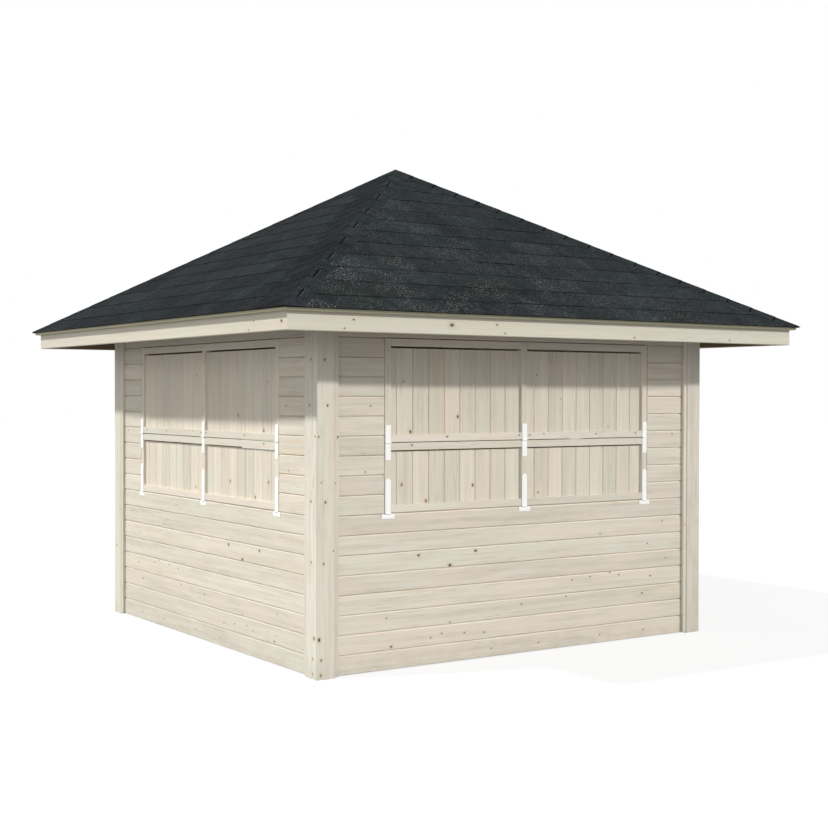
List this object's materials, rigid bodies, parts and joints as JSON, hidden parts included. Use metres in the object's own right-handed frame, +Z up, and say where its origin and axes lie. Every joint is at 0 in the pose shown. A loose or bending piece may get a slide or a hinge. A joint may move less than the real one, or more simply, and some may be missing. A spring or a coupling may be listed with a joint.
{
  "type": "garden gazebo",
  "caption": "Square timber garden gazebo with boarded walls, folding serving hatches on strap hinges and an overhanging pyramid roof covered in dark shingles.",
  "frame": {"origin": "on the ground at the middle of the plan", "axes": "+Z up, -Y out of the front wall, +X to the right seen from the front"},
  "size_m": [3.92, 3.92, 3.2023],
  "materials": {
    "posts": "planed and left bare",
    "wall_boards": "planed and left bare",
    "hatch_frames": "planed and left bare",
    "hatch_boards": "planed and left bare",
    "fascia": "planed and left bare",
    "roof_boards": "planed and left bare",
    "roof_timber": "planed and left bare",
    "shingles": "mineral granules on bitumen felt",
    "hinges": "zinc plated"
  },
  "bodies": {
    "root": {"back_fascia": "fascia", "back_roof_boards": "roof_boards", "back_shingles": "shingles", "back_wall_plate": "roof_timber", "back_wall_sides": "wall_boards", "common_rafters": "roof_timber", "corner_battens": "posts", "corner_post_back": "posts", "corner_post_front": "posts", "corner_post_left": "posts", "corner_post_right": "posts", "front_fascia": "fascia", "front_hatch_boards": "hatch_boards", "front_hatch_hinges": "hinges", "front_hatch_lower_leaf": "hatch_frames", "front_hatch_upper_leaf": "hatch_frames", "front_roof_boards": "roof_boards", "front_shingles": "shingles", "front_wall_lower": "wall_boards", "front_wall_plate": "roof_timber", "front_wall_sides": "wall_boards", "hip_rafters": "roof_timber", "jamb_studs": "roof_timber", "king_post": "roof_timber", "left_fascia": "fascia", "left_hatch_boards": "hatch_boards", "left_hatch_hinges": "hinges", "left_hatch_lower_leaf": "hatch_frames", "left_hatch_upper_leaf": "hatch_frames", "left_roof_boards": "roof_boards", "left_shingles": "shingles", "left_wall_lower": "wall_boards", "left_wall_plate": "roof_timber", "left_wall_sides": "wall_boards", "right_fascia": "fascia", "right_hatch_boards": "hatch_boards", "right_hatch_hinges": "hinges", "right_hatch_lower_leaf": "hatch_frames", "right_hatch_upper_leaf": "hatch_frames", "right_roof_boards": "roof_boards", "right_shingles": "shingles", "right_wall_lower": "wall_boards", "right_wall_plate": "roof_timber", "right_wall_sides": "wall_boards", "wall_headers": "wall_boards"}
  },
  "joints": []
}
